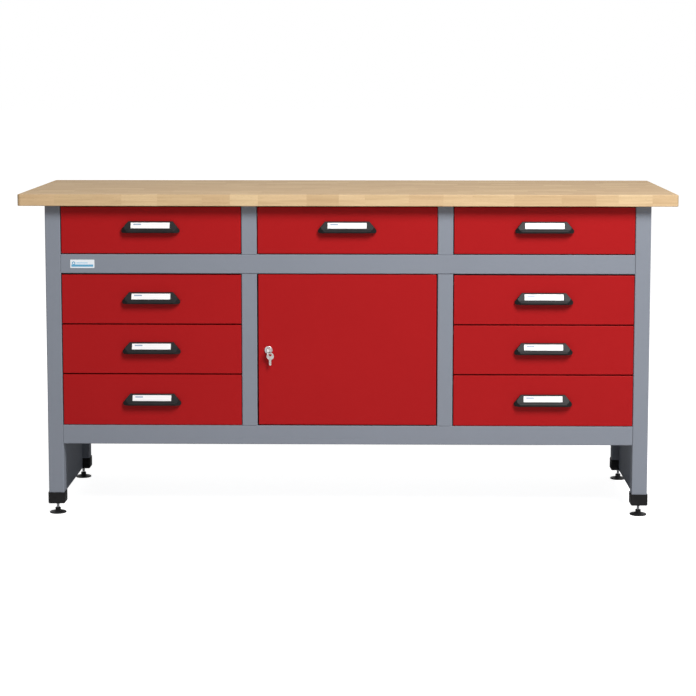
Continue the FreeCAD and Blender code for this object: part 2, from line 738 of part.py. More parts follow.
def lock_plug():
    """The part that turns with the key, with its keyway and a tail that carries the cam."""
    face = FRONT_Y - LOCK_HEAD + PLUG_RECESS
    rear = FRONT_Y + LOCK_BARREL + 1
    plug = rod(PLUG_R, V(LOCK_X, face, LOCK_Z), Y_AXIS, rear - face)
    plug = plug.fuse(rod(CAM_TAIL_R, V(LOCK_X, rear, LOCK_Z), Y_AXIS, CAM_THICK)).removeSplitter()
    half_w = KEY_THICK / 2 + KEYWAY_PLAY
    half_h = KEY_BLADE / 2 + KEYWAY_PLAY
    keyway = box(
        LOCK_X - half_w, LOCK_X + half_w, face - 1, face + KEYWAY_DEPTH, LOCK_Z - half_h, LOCK_Z + half_h
    )
    return plug.cut(keyway)


def lock_cam():
    """The cam on the plug's tail, pointing up when unlocked, and the screw that holds it."""
    y = FRONT_Y + LOCK_BARREL + 1
    half = CAM_WIDTH / 2
    cam = rod(half, V(LOCK_X, y, LOCK_Z), Y_AXIS, CAM_THICK)
    tip_z = LOCK_Z + CAM_REACH - half
    cam = cam.fuse(box(LOCK_X - half, LOCK_X + half, y, y + CAM_THICK, LOCK_Z, tip_z))
    cam = cam.fuse(rod(half, V(LOCK_X, y, tip_z), Y_AXIS, CAM_THICK)).removeSplitter()
    cam = cam.cut(rod(CAM_TAIL_R, V(LOCK_X, y, LOCK_Z), Y_AXIS, CAM_THICK))
    screw = rod(CAM_SCREW_R, V(LOCK_X, y + CAM_THICK, LOCK_Z), Y_AXIS, CAM_SCREW_HEAD)
    end = y + CAM_THICK + CAM_SCREW_HEAD
    screw = rounded(screw, 0.8, lambda e: abs(e.BoundBox.YMin - end) < 0.01)
    return [cam, screw]


def flat_key():
    """A flat key in the YZ plane: its bow's tip at the origin and its blade along +Y."""
    half = KEY_THICK / 2
    start = V(-half, 0, 0)
    bow = rod(KEY_BOW_R, start + V(0, KEY_BOW_R, 0), X_AXIS, KEY_THICK)
    half_blade = KEY_BLADE / 2
    blade = prism(
        [
            start + V(0, KEY_BOW_R, -half_blade),
            start + V(0, KEY_LENGTH - KEY_TIP, -half_blade),
            start + V(0, KEY_LENGTH, 0),
            start + V(0, KEY_LENGTH - KEY_TIP, half_blade),
            start + V(0, KEY_BOW_R, half_blade),
        ],
        X_AXIS * KEY_THICK,
    )
    shoulder = prism(
        [
            start + V(0, KEY_SHOULDER, -KEY_BOW_R + 1),
            start + V(0, KEY_NECK, -half_blade),
            start + V(0, KEY_NECK, half_blade),
            start + V(0, KEY_SHOULDER, KEY_BOW_R - 1),
        ],
        X_AXIS * KEY_THICK,
    )
    key = bow.fuse(blade).fuse(shoulder).removeSplitter()
    key = key.cut(rod(KEY_HOLE_R, start + V(-1, KEY_HOLE_FROM_TIP, 0), X_AXIS, KEY_THICK + 2))
    for along, depth in KEY_NOTCHES:
        notch = prism(
            [
                start + V(-1, along - KEY_NOTCH_HALF, -half_blade - 0.1),
                start + V(-1, along, -half_blade + depth),
                start + V(-1, along + KEY_NOTCH_HALF, -half_blade - 0.1),
            ],
            X_AXIS * (KEY_THICK + 2),
        )
        key = key.cut(notch)
    return key


def door_key():
    """The key in the lock, its bow upright and its neck a little way out from the door."""
    key = flat_key()
    key.translate(V(LOCK_X, FRONT_Y - KEY_NECK_STANDOFF - KEY_NECK, LOCK_Z))
    return key


def ring_centre():
    return V(LOCK_X + RING_TO_RIGHT, FRONT_Y - RING_STANDOFF, LOCK_Z + RING_TOP - RING_R)


def ring_normal():
    yaw = math.radians(RING_YAW)
    return V(math.sin(yaw), math.cos(yaw), 0)


def ring_point(degrees):
    """The middle of the ring's wire, so many degrees round to the right from its lowest point."""
    a = math.radians(degrees)
    rightwards = ring_normal().cross(Z_AXIS)
    return ring_centre() + (rightwards * math.sin(a) - Z_AXIS * math.cos(a)) * RING_R


def key_ring():
    """The ring around the key's neck, turned a little to one side."""
    return Part.makeTorus(RING_R, RING_WIRE_R, ring_centre(), ring_normal())


def spare_key():
    """The same key, hanging by its hole from the lower right of the ring and facing forwards."""
    key = flat_key()
    key.translate(V(0, -KEY_HOLE_FROM_TIP, 0))
    key.rotate(V(0, 0, 0), X_AXIS, -90)
    key.rotate(V(0, 0, 0), Z_AXIS, 90)
    key.translate(ring_point(SPARE_KEY_ROUND_RING) - V(0, 0, SPARE_KEY_DROP))
    return key


def main():
    os.makedirs("parts", exist_ok=True)
    save("worktop", worktop())
    save("worktop_screws", worktop_screws())
    for name, centre in LEG_CENTRES.items():
        save("leg_" + name, leg(centre))
        save("foot_" + name, levelling_foot(centre))
    save("leg_caps", [leg_cap(centre) for centre in LEG_CENTRES.values()])
    save("side_panel_right", side_panel())
    save("side_panel_left", mirrored(side_panel()))
    save("front_rail_upper", front_rail(UPPER_RAIL_Z, UPPER_RAIL_Z))
    save("front_rail_lower", front_rail(LOWER_RAIL_Z, LOWER_RAIL_TOP - RAIL_WALL))
    save("mid_posts", mid_posts())
    save("rear_rails", rear_rails())
    save("back_panel", back_panel())
    save("back_screws", back_screws())
    save("partition_right", partition())
    save("partition_left", [mirrored(skin) for skin in partition()])
    save("base_panel", base_panel())
    save("badge", badge())
    runners = []
    for name, middle, half, low, high, pull_top in drawer_places():
        save("tray_" + name, drawer_tray(middle, half, low, high))
        save("front_" + name, drawer_front(middle, half, low, high))
        save("pull_" + name, drawer_pull(middle, pull_top))
        runners += runner_pair(middle, half, high)
    save("drawer_runners", runners)
    save("door_panel", door_panel())
    save("hinge_pins", hinge_pins())
    save("hinge_washers", hinge_washers())
    save("lock_housing", lock_housing())
    save("lock_plug", lock_plug())
    save("lock_cam", lock_cam())
    save("door_key", door_key())
    save("key_ring", key_ring())
    save("spare_key", spare_key())


main()
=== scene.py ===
"""The looks of a workbench with nine drawers and a cupboard, in metres.

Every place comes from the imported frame. The pieces come first, then the materials,
and then the floor, the lights and the camera.
"""
import json
import math

import bmesh
import bpy
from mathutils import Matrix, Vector


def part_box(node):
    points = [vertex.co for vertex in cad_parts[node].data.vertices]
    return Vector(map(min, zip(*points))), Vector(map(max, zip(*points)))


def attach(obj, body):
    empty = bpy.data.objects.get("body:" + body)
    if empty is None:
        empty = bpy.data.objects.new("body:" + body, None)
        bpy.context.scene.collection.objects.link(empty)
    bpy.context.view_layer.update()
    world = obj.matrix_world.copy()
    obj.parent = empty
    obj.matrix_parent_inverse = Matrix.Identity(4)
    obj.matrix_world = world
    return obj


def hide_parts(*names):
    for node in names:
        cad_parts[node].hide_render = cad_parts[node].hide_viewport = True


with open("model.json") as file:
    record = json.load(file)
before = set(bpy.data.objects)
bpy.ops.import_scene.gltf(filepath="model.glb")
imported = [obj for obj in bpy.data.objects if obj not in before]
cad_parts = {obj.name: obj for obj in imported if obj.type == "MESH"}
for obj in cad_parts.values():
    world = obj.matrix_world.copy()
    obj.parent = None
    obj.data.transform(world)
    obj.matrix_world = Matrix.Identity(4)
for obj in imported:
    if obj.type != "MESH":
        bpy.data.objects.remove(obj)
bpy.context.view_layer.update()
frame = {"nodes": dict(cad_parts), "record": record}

MM = 0.001
ROOT = "carcass"

# The pull's sloping face and the label in its recess
PULL_SLOPE_TOP = 5.5 * MM
PULL_SLOPE_RUN = 9.0 * MM
PULL_SLOPE_DROP = 20.5 * MM
LABEL_LENGTH = 101.0 * MM
LABEL_HEIGHT = 15.8 * MM
LABEL_THICK = 0.45 * MM
LABEL_SINK = 0.32 * MM
LABEL_CORNER = 0.8 * MM
LABEL_RULE = 0.35 * MM

# Levelling feet: M8 stem, moulded collar and pad
STEM_R = 4.0 * MM
THREAD_PITCH = 1.25 * MM
THREAD_DEPTH = 0.62 * MM
RINGS_PER_PITCH = 6
COLLAR_FLATS = 13.0 * MM
COLLAR_BOTTOM = 6.5 * MM
COLLAR_TOP = 14.5 * MM
PAD_RIM = 3.5 * MM
PAD_NECK_R = 8.0 * MM
STEM_SOCKET_FLOOR = 4.0 * MM

# Split ring of flattened wire, wound twice
RING_WIRE_WIDE = 0.95 * MM
RING_WIRE_THICK = 0.35 * MM
RING_OUTER_TO_MIDDLE = 0.6 * MM
RING_TURNS = 2.0
RING_YAW = 34.0

# Beech staves
STAVE = 40.0 * MM
STAVE_LENGTH = 0.46
STAVE_EDGE = 0.3 * MM
# Index of the front row of staves; the rows behind it carry painted shade
FRONT_ROW = -7.0
ROWS_REACH = 299.0 * MM

# Camera and light
CAMERA_PLACE = (0.0903, -5.2755, 1.1926)
CAMERA_PITCH = 6.05
CAMERA_YAW = 1.01
CAMERA_LENS = 100.5
CAMERA_SHIFT_Y = -0.12
SKY_LOW = 0.42
SKY_HIGH = 0.14
SKY_REFLECTED = 0.85
KEY_PLACE = (1.4, -2.8, 3.25)
KEY_AIM = (0.0, -0.1, 0.45)
KEY_SIZE = (1.5, 1.5)
KEY_POWER = 178.0
FLOOR_R = 40.0
FLOOR_TONE = 0.64
FLOOR_GLOW = 0.91

DRAWERS = [n[len("pull_"):] for n in sorted(frame["nodes"]) if n.startswith("pull_")]
FEET = [n[len("foot_"):] for n in sorted(frame["nodes"]) if n.startswith("foot_")]


# Mesh helpers
def new_piece(name, mesh, material):
    """A new object in the scene, with one material."""
    piece = bpy.data.objects.new(name, mesh)
    bpy.context.scene.collection.objects.link(piece)
    if not mesh.materials:
        mesh.materials.append(material)
    return piece


def mesh_from(name, points, faces, sharp_angle=35.0):
    """A mesh from points and faces, smooth except where it turns by more than an angle."""
    mesh = bpy.data.meshes.new(name)
    mesh.from_pydata(points, [], faces)
    mesh.validate()
    bm = bmesh.new()
    bm.from_mesh(mesh)
    bmesh.ops.recalc_face_normals(bm, faces=bm.faces)
    bm.to_mesh(mesh)
    bm.free()
    mesh.shade_smooth()
    mesh.set_sharp_from_angle(angle=math.radians(sharp_angle))
    return mesh


def grid_faces(rows, columns):
    """Quads of a closed tube of rings, each with the same number of points, and its two ends."""
    faces = []
    for i in range(rows - 1):
        for j in range(columns):
            k = (j + 1) % columns
            near = i * columns
            far = near + columns
            faces.append((near + j, near + k, far + k, far + j))
    faces.append(tuple(range(columns)))
    faces.append(tuple((rows - 1) * columns + j for j in range(columns)))
    return faces


def arc(centre, radius, start, end, steps):
    """Points on an arc in a plane, with its angles in degrees."""
    points = []
    for i in range(steps + 1):
        a = math.radians(start + (end - start) * i / steps)
        points.append((centre[0] + radius * math.cos(a), centre[1] + radius * math.sin(a)))
    return points


def turned(name, profile, segments):
    """A solid of revolution about Z from (radius, height) points."""
    points = []
    for radius, height in profile:
        for j in range(segments):
            a = 2 * math.pi * j / segments
            points.append((radius * math.cos(a), radius * math.sin(a), height))
    return mesh_from(name, points, grid_faces(len(profile), segments))


def joined(name, meshes):
    """One mesh from several."""
    bm = bmesh.new()
    for mesh in meshes:
        bm.from_mesh(mesh)
    made = bpy.data.meshes.new(name)
    bm.to_mesh(made)
    bm.free()
    made.shade_smooth()
    made.set_sharp_from_angle(angle=math.radians(35))
    return made


def rounded_card(name, length, height, thick, radius):
    """A thin card in the XZ plane with rounded corners and its printed face towards -Y."""
    half_x = length / 2 - radius
    half_z = height / 2 - radius
    outline = []
    for cx, cz, start in (
        (half_x, half_z, 0),
        (-half_x, half_z, 90),
        (-half_x, -half_z, 180),
        (half_x, -half_z, 270),
    ):
        outline += arc((cx, cz), radius, start, start + 90, 6)
    edge = thick * 0.25
    rings = ((0.0, edge), (edge, 0.0), (thick - edge, 0.0), (thick, edge))
    points = []
    for y, inset in rings:
        for x, z in outline:
            scale_x = 1 - inset / (length / 2)
            scale_z = 1 - inset / (height / 2)
            points.append((x * scale_x, y, z * scale_z))
    return mesh_from(name, points, grid_faces(len(rings), len(outline)))


# Material helpers
class Graph:
    """A material's nodes around one Principled shader."""

    def __init__(self, name):
        self.material = bpy.data.materials.new(name)
        self.material.use_nodes = True
        self.tree = self.material.node_tree
        self.shader = self.tree.nodes["Principled BSDF"]
        self.point = self.node("TexCoord").outputs["Object"]

    def put(self, socket, value):
        """Links or sets one input."""
        if isinstance(value, bpy.types.NodeSocket):
            self.tree.links.new(value, socket)
        else:
            socket.default_value = value

    def node(self, kind, inputs=None, **settings):
        made = self.tree.nodes.new("ShaderNode" + kind)
        for name, value in settings.items():
            setattr(made, name, value)
        for key, value in (inputs or {}).items():
            self.put(made.inputs[key], value)
        return made

    def math(self, operation, a, b=0.0, c=0.0):
        return self.node("Math", {0: a, 1: b, 2: c}, operation=operation).outputs[0]

    def axes(self, vector=None):
        parts = self.node("SeparateXYZ", {0: vector or self.point})
        return parts.outputs[0], parts.outputs[1], parts.outputs[2]

    def vector(self, x, y, z):
        return self.node("CombineXYZ", {0: x, 1: y, 2: z}).outputs[0]

    def stretched(self, scale, vector=None):
        """The point scaled by three numbers."""
        return self.node("Mapping", {"Vector": vector or self.point, "Scale": scale}).outputs[0]

    def noise(self, scale, vector=None, detail=2.0, roughness=0.5, distortion=0.0):
        inputs = {
            "Vector": vector or self.point,
            "Scale": scale,
            "Detail": detail,
            "Roughness": roughness,
            "Distortion": distortion,
        }
        return self.node("TexNoise", inputs).outputs["Fac"]

    def spread(self, value, low, high, from_low=0.0, from_high=1.0):
        """A value mapped from one range to another."""
        inputs = {0: value, 1: from_low, 2: from_high, 3: low, 4: high}
        return self.node("MapRange", inputs).outputs[0]

    def mix(self, share, a, b, blend="MIX"):
        made = self.node("Mix", data_type="RGBA", blend_type=blend)
        for index, value in ((0, share), (6, a), (7, b)):
            self.put(made.inputs[index], value)
        return made.outputs[2]

    def between(self, value, low, high):
        """1 where the value lies between two limits."""
        above = self.math("GREATER_THAN", value, low)
        below = self.math("LESS_THAN", value, high)
        return self.math("MULTIPLY", above, below)

    def bump(self, height, distance, strength=1.0, normal=None):
        inputs = {"Height": height, "Distance": distance, "Strength": strength}
        if normal is not None:
            inputs["Normal"] = normal
        return self.node("Bump", inputs).outputs[0]

    def finish(self, **sockets):
        """Sets the shader's sockets, named with _ for a space, and returns the material."""
        for name, value in sockets.items():
            self.put(self.shader.inputs[name.replace("_", " ")], value)
        return self.material


def rgba(colour, factor=1.0):
    """A colour for a socket, made lighter or darker by a factor."""
    return tuple(c * factor for c in colour) + (1.0,)


# Materials
def beech():
    """Edge-glued beech staves along X, each with its own tone, grain, flecks and butt joints, and
    painted shade darkening the rows behind the front edge.
    """
    g = Graph("beech_staves")
    x, y, z = g.axes()
    y_inside = g.math("MAXIMUM", g.math("MINIMUM", y, ROWS_REACH), -ROWS_REACH)
    across = g.math("ADD", g.math("DIVIDE", y_inside, STAVE), 0.5)
    row = g.math("FLOOR", across)
    along = g.math("MULTIPLY_ADD", row, 7.31, g.math("DIVIDE", x, STAVE_LENGTH))
    cell = g.node("TexVoronoi", {"W": along, "Randomness": 0.85}, voronoi_dimensions="1D")
    edge = g.node(
        "TexVoronoi",
        {"W": along, "Randomness": 0.85},
        voronoi_dimensions="1D",
        feature="DISTANCE_TO_EDGE",
    ).outputs[0]
    tone, shift, warmth = g.axes(cell.outputs["Color"])
    # Grain runs along X; each stave is cut from another place in the tree
    moved_y = g.math("MULTIPLY_ADD", shift, 9.0, y)
    moved_z = g.math("MULTIPLY_ADD", warmth, 5.0, z)
    cut = g.vector(x, moved_y, moved_z)
    broad = g.noise(1.0, g.stretched((4.0, 95.0, 95.0), cut), 3.0, 0.55, 0.5)
    fine = g.noise(1.0, g.stretched((14.0, 520.0, 520.0), cut), 4.0, 0.65)
    fleck = g.noise(1.0, g.stretched((160.0, 1700.0, 1700.0), cut), 1.0)
    fleck = g.spread(fleck, 0.0, 1.0, 0.62, 0.72)
    light = rgba((0.68, 0.50, 0.285))
    dark = rgba((0.50, 0.335, 0.175))
    rosy = rgba((0.60, 0.40, 0.23))
    stave = g.mix(g.spread(tone, 0.0, 0.75), light, dark)
    # Painted shade: the rows behind the front row are darker than the front edge stave, standing in
    # for the top's weaker, grazing light
    behind = g.math("GREATER_THAN", row, FRONT_ROW + 0.5)
    painted_top_shade = g.math("MULTIPLY", behind, g.spread(warmth, 0.10, 0.50))
    stave = g.mix(painted_top_shade, stave, rgba((0.42, 0.29, 0.165)))
    stave = g.mix(g.math("MULTIPLY", warmth, 0.35), stave, rosy)
    stave = g.mix(g.spread(broad, 0.0, 0.55, 0.42, 0.68), stave, rgba((0.47, 0.31, 0.16)))
    stave = g.mix(g.spread(fine, 0.0, 0.30, 0.45, 0.75), stave, rgba((0.42, 0.27, 0.14)))
    stave = g.mix(g.math("MULTIPLY", fleck, 0.30), stave, rgba((0.30, 0.17, 0.08)))
    # End grain on the board's two ends: growth rings and a darker tone
    ring_y = g.math("SUBTRACT", moved_y, g.math("MULTIPLY", shift, 8.98))
    ring_z = g.math("ADD", z, g.spread(warmth, -0.80, -0.86))
    radius = g.math("SQRT", g.math("ADD", g.math("POWER", ring_y, 2.0), g.math("POWER", ring_z, 2.0)))
    waver = g.noise(60.0, None, 2.0)
    phase = g.math("MULTIPLY_ADD", radius, 2600.0, g.math("MULTIPLY", waver, 5.0))
    rings = g.spread(g.math("SINE", phase), 0.0, 0.5, -1.0, 1.0)
    end_tone = g.mix(rings, rgba((0.52, 0.36, 0.20)), rgba((0.36, 0.22, 0.11)))
    facing = g.axes(g.node("NewGeometry").outputs["Normal"])[0]
    on_end = g.spread(g.math("ABSOLUTE", facing), 0.0, 1.0, 0.80, 0.95)
    colour = g.mix(on_end, stave, end_tone)
    # Glue lines between rows and joints between staves
    off_centre = g.math("ABSOLUTE", g.math("SUBTRACT", g.math("FRACT", across), 0.5))
    glue = g.math("GREATER_THAN", off_centre, 0.5 - STAVE_EDGE / STAVE)
    joint = g.math("LESS_THAN", edge, STAVE_EDGE / STAVE_LENGTH)
    seam = g.math("MAXIMUM", glue, joint)
    colour = g.mix(g.math("MULTIPLY", seam, 0.35), colour, rgba((0.25, 0.15, 0.07)))
    height = g.math("SUBTRACT", g.math("MULTIPLY", fine, 0.6), g.math("MULTIPLY", seam, 0.5))
    height = g.math("SUBTRACT", height, g.math("MULTIPLY", fleck, 0.4))
    return g.finish(
        Base_Color=colour,
        Roughness=g.spread(fine, 0.52, 0.66),
        Normal=g.bump(height, 0.10 * MM, 0.6),
        Specular_IOR_Level=0.30,
    )


def powder_coat(name, colour, roughness):
    """Oven-baked powder paint: orange peel, faint clouding and a fine speckle."""
    g = Graph(name)
    cloud = g.noise(5.0, None, 3.0)
    speckle = g.noise(900.0, None, 1.0)
    tint = g.math("ADD", g.spread(cloud, 0.965, 1.035), g.spread(speckle, -0.02, 0.02))
    shade = g.vector(tint, tint, tint)
    painted = g.mix(1.0, rgba(colour), shade, "MULTIPLY")
    peel = g.noise(420.0, None, 2.0, 0.45)
    grit = g.noise(1600.0, None, 1.0)
    normal = g.bump(peel, 0.055 * MM, 0.8)
    normal = g.bump(grit, 0.012 * MM, 0.6, normal)
    return g.finish(
        Base_Color=painted,
        Roughness=g.spread(peel, roughness - 0.04, roughness + 0.05),
        Normal=normal,
        Specular_IOR_Level=0.10,
    )


def moulded_black():
    """Black polyamide with a spark-eroded grain."""
    g = Graph("moulded_black")
    grain = g.noise(2100.0, None, 3.0, 0.6)
    flow = g.noise(45.0, None, 2.0)
    deep = rgba((0.0085, 0.0085, 0.009))
    faded = rgba((0.013, 0.013, 0.014))
    colour = g.mix(g.spread(flow, 0.0, 1.0, 0.3, 0.7), deep, faded)
    return g.finish(
        Base_Color=colour,
        Roughness=g.spread(grain, 0.38, 0.52),
        Normal=g.bump(grain, 0.05 * MM, 0.7),
        Specular_IOR_Level=0.18,
    )


def zinc_plate(name, colour, roughness):
    """Bright zinc plating with faint crystals and drawing marks."""
    g = Graph(name)
    crystal = g.node("TexVoronoi", {"Vector": g.point, "Scale": 260.0}).outputs["Color"]
    flake = g.axes(crystal)[0]
    drawn = g.noise(1.0, g.stretched((900.0, 35.0, 900.0)), 2.0)
    stain = g.noise(30.0, None, 3.0)
    tint = g.math("ADD", g.spread(flake, 0.93, 1.02), g.spread(stain, -0.06, 0.04))
    metal = g.mix(1.0, rgba(colour), g.vector(tint, tint, tint), "MULTIPLY")
    facet = g.spread(flake, roughness - 0.05, roughness + 0.05)
    rough = g.math("ADD", facet, g.spread(stain, -0.04, 0.06))
    return g.finish(
        Base_Color=metal,
        Metallic=1.0,
        Roughness=rough,
        Normal=g.bump(drawn, 0.02 * MM, 0.6),
    )


def polished_chrome():
    """Polished chrome with the faintest lapping marks and haze."""
    g = Graph("polished_chrome")
    haze = g.noise(140.0, None, 3.0)
    lap = g.noise(1.0, g.stretched((2200.0, 2200.0, 300.0)), 1.0)
    metal = g.mix(haze, rgba((0.86, 0.86, 0.87)), rgba((0.80, 0.81, 0.83)))
    return g.finish(
        Base_Color=metal,
        Metallic=1.0,
        Roughness=g.spread(haze, 0.10, 0.18),
        Normal=g.bump(lap, 0.004 * MM, 0.5),
    )


def nickel_key():
    """Nickel-plated brass with fine brushing along the blade."""
    g = Graph("nickel_key")
    brushed = g.noise(1.0, g.stretched((2600.0, 2600.0, 220.0)), 2.0)
    stain = g.noise(180.0, None, 3.0)
    metal = g.mix(stain, rgba((0.88, 0.87, 0.84)), rgba((0.76, 0.74, 0.69)))
    return g.finish(
        Base_Color=metal,
        Metallic=1.0,
        Roughness=g.spread(brushed, 0.20, 0.34),
        Normal=g.bump(brushed, 0.012 * MM, 0.6),
    )


def dark_nylon():
    """Dark nylon, slightly cloudy."""
    g = Graph("dark_nylon")
    cloud = g.noise(260.0, None, 3.0)
    colour = g.mix(cloud, rgba((0.026, 0.026, 0.028)), rgba((0.018, 0.018, 0.020)))
    return g.finish(
        Base_Color=colour,
        Roughness=g.spread(cloud, 0.40, 0.52),
        Normal=g.bump(cloud, 0.02 * MM),
    )


def printed_label():
    """A white card under clear film: a plain blue bar and two ruled lines, with no lettering."""
    g = Graph("printed_label")
    x, _, z = g.axes()
    paper = g.noise(900.0, None, 3.0)
    white = g.mix(g.spread(paper, 0.0, 1.0), rgba((0.86, 0.85, 0.85)), rgba((0.80, 0.79, 0.79)))
    half = LABEL_LENGTH / 2
    bar_x = g.between(x, -half + 7 * MM, -half + 27 * MM)
    bar = g.math("MULTIPLY", bar_x, g.between(z, 1.2 * MM, 4.6 * MM))
    colour = g.mix(g.math("MULTIPLY", bar, 0.75), white, rgba((0.045, 0.17, 0.33)))
    for level in (-4.4 * MM, 2.4 * MM):
        start = -half + (7 * MM if level < 0 else 32 * MM)
        rule_x = g.between(x, start, half - 7 * MM)
        ruled = g.math("MULTIPLY", rule_x, g.between(z, level, level + LABEL_RULE))
        colour = g.mix(g.math("MULTIPLY", ruled, 0.45), colour, rgba((0.35, 0.36, 0.38)))
    film = g.noise(70.0, None, 1.0)
    return g.finish(
        Base_Color=colour,
        Roughness=0.55,
        Normal=g.bump(film, 0.03 * MM, 0.5),
        Coat_Weight=0.5,
        Coat_Roughness=0.12,
    )


def printed_badge():
    """A white film badge with plain blue bands and a round mark, and no lettering."""
    g = Graph("printed_badge")
    low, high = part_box("badge")
    x, _, z = g.axes()
    length = high.x - low.x
    height = high.z - low.z
    u = g.math("DIVIDE", g.math("SUBTRACT", x, low.x), length)
    v = g.math("DIVIDE", g.math("SUBTRACT", z, low.z), height)
    film = g.noise(700.0, None, 2.0)
    colour = g.mix(film, rgba((0.80, 0.84, 0.87)), rgba((0.74, 0.79, 0.83)))
    blue = rgba((0.10, 0.36, 0.58))
    pale = rgba((0.30, 0.58, 0.78))
    band = g.between(v, 0.16, 0.42)
    colour = g.mix(g.math("MULTIPLY", band, g.between(u, 0.05, 0.95)), colour, blue)
    line = g.math("MULTIPLY", g.between(v, 0.56, 0.66), g.between(u, 0.26, 0.72))
    colour = g.mix(line, colour, pale)
    dot_u = g.math("MULTIPLY", g.math("SUBTRACT", u, 0.14), length / height)
    dot_v = g.math("SUBTRACT", v, 0.58)
    far = g.math("SQRT", g.math("ADD", g.math("POWER", dot_u, 2.0), g.math("POWER", dot_v, 2.0)))
    colour = g.mix(g.between(far, 0.10, 0.20), colour, blue)
    return g.finish(
        Base_Color=colour,
        Roughness=g.spread(film, 0.28, 0.36),
        Normal=g.bump(film, 0.01 * MM, 0.5),
        Coat_Weight=0.3,
        Coat_Roughness=0.15,
    )


def make_materials():
    """Each material slot's material."""
    return {
        "beech": beech(),
        "grey_paint": powder_coat("grey_powder", (0.225, 0.245, 0.285), 0.46),
        "red_paint": powder_coat("red_powder", (0.370, 0.0085, 0.0100), 0.42),
        "tray_paint": powder_coat("tray_powder", (0.250, 0.268, 0.300), 0.46),
        "black_plastic": moulded_black(),
        "zinc": zinc_plate("zinc_plate", (0.62, 0.63, 0.65), 0.34),
        "chrome": polished_chrome(),
        "key_metal": nickel_key(),
        "nylon": dark_nylon(),
        "badge": printed_badge(),
    }


def dress_nodes(materials):
    """Gives every CAD node its slot's material."""
    for row in frame["record"]["subparts"]:
        mesh = frame["nodes"][row["node"]].data
        mesh.materials.clear()
        mesh.materials.append(materials[row["material_slot"]])


def soften_edges():
    """Breaks the sharp edges of the small stamped pieces."""
    for node, width in (("door_key", 0.22), ("spare_key", 0.22), ("lock_cam", 0.25), ("badge", 0.12)):
        piece = frame["nodes"][node]
        weld = piece.modifiers.new("weld", "WELD")
        weld.merge_threshold = 0.001 * MM
        bevel = piece.modifiers.new("bevel", "BEVEL")
        bevel.width = width * MM
        bevel.segments = 2
        bevel.limit_method = "ANGLE"
        bevel.angle_limit = math.radians(40)
        bevel.harden_normals = True


# Pieces
def label_cards(material):
    """A label card in the recess on each pull's sloping face."""
    mesh = rounded_card("label_card", LABEL_LENGTH, LABEL_HEIGHT, LABEL_THICK, LABEL_CORNER)
    tilt = math.atan2(PULL_SLOPE_RUN, PULL_SLOPE_DROP)
    inwards = Vector((0.0, math.cos(tilt), -math.sin(tilt)))
    for name in DRAWERS:
        low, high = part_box("pull_" + name)
        card = new_piece("label_" + name, mesh, material)
        middle = (low.x + high.x) / 2
        face_y = high.y - PULL_SLOPE_TOP - PULL_SLOPE_RUN / 2
        card.location = Vector((middle, face_y, high.z - PULL_SLOPE_DROP / 2)) + inwards * LABEL_SINK
        card.rotation_euler = (-tilt, 0.0, 0.0)
        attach(card, "drawer_" + name)


def thread_mesh(z0, z1):
    """A threaded stem: its surface follows the thread's V all the way round."""
    segments = 32
    step = THREAD_PITCH / RINGS_PER_PITCH
    rings = int((z1 - z0) / step) + 1
    lead_in = 3 * RINGS_PER_PITCH
    points = []
    for i in range(rings):
        z = z0 + i * step
        taper = min(1.0, (rings - 1 - i) / lead_in)
        for j in range(segments):
            turn = j / segments
            phase = (z / THREAD_PITCH - turn) % 1.0
            ridge = abs(2 * phase - 1)
            crest = STEM_R * (0.86 + 0.14 * taper)
            r = crest - THREAD_DEPTH * (1 - ridge)
            a = 2 * math.pi * turn
            points.append((r * math.cos(a), r * math.sin(a), z))
    return mesh_from("thread", points, grid_faces(rings, segments), 80.0)


def pad_mesh(pad_r):
    """The foot's dished pad and its hexagonal collar."""
    dome = []
    steps = 10
    for i in range(steps + 1):
        t = i / steps
        radius = pad_r - 1.5 * MM - (pad_r - 1.5 * MM - PAD_NECK_R) * t
        dome.append((radius, PAD_RIM + (COLLAR_BOTTOM + 1 * MM - PAD_RIM) * t ** 1.6))
    rim = arc((pad_r - 1.5 * MM, PAD_RIM - 1.5 * MM), 1.5 * MM, 0, 90, 5)
    profile = [(0.3 * MM, 0.0), (pad_r - 3 * MM, 0.0), (pad_r - 0.6 * MM, 0.2 * MM), (pad_r, 1.0 * MM)]
    profile += rim + dome[1:] + [(STEM_R, COLLAR_BOTTOM + 1.2 * MM)]
    pad = turned("pad", profile, 64)
    flats = COLLAR_FLATS / 2
    chamfer = 0.8 * MM
    points = []
    rings = (
        (COLLAR_BOTTOM, 1.0),
        (COLLAR_TOP - chamfer, 1.0),
        (COLLAR_TOP, 0.90),
    )
    for z, share in rings:
        for j in range(48):
            a = 2 * math.pi * j / 48
            within = (a % (math.pi / 3)) - math.pi / 6
            hexagon = flats / math.cos(within)
            r = min(hexagon, flats * 1.11) * share
            points.append((r * math.cos(a), r * math.sin(a), z))
    collar = mesh_from("collar", points, grid_faces(len(rings), 48), 25.0)
    return joined("levelling_pad", [pad, collar])


def levelling_feet(black, zinc):
    """Pad and threaded stem of each foot, in place of its plain CAD solids."""
    low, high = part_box("foot_" + FEET[0])
    pad = pad_mesh((high.x - low.x) / 2)
    stem = thread_mesh(STEM_SOCKET_FLOOR, high.z)
    for name in FEET:
        node = "foot_" + name
        low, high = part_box(node)
        centre = Vector(((low.x + high.x) / 2, (low.y + high.y) / 2, 0.0))
        for piece, slot in (
            (new_piece("pad_" + name, pad, black), "black_plastic"),
            (new_piece("stem_" + name, stem, zinc), "zinc"),
        ):
            piece.location = centre
            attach(piece, "levelling_foot_" + name)
            if slot == "black_plastic":
                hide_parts(node)


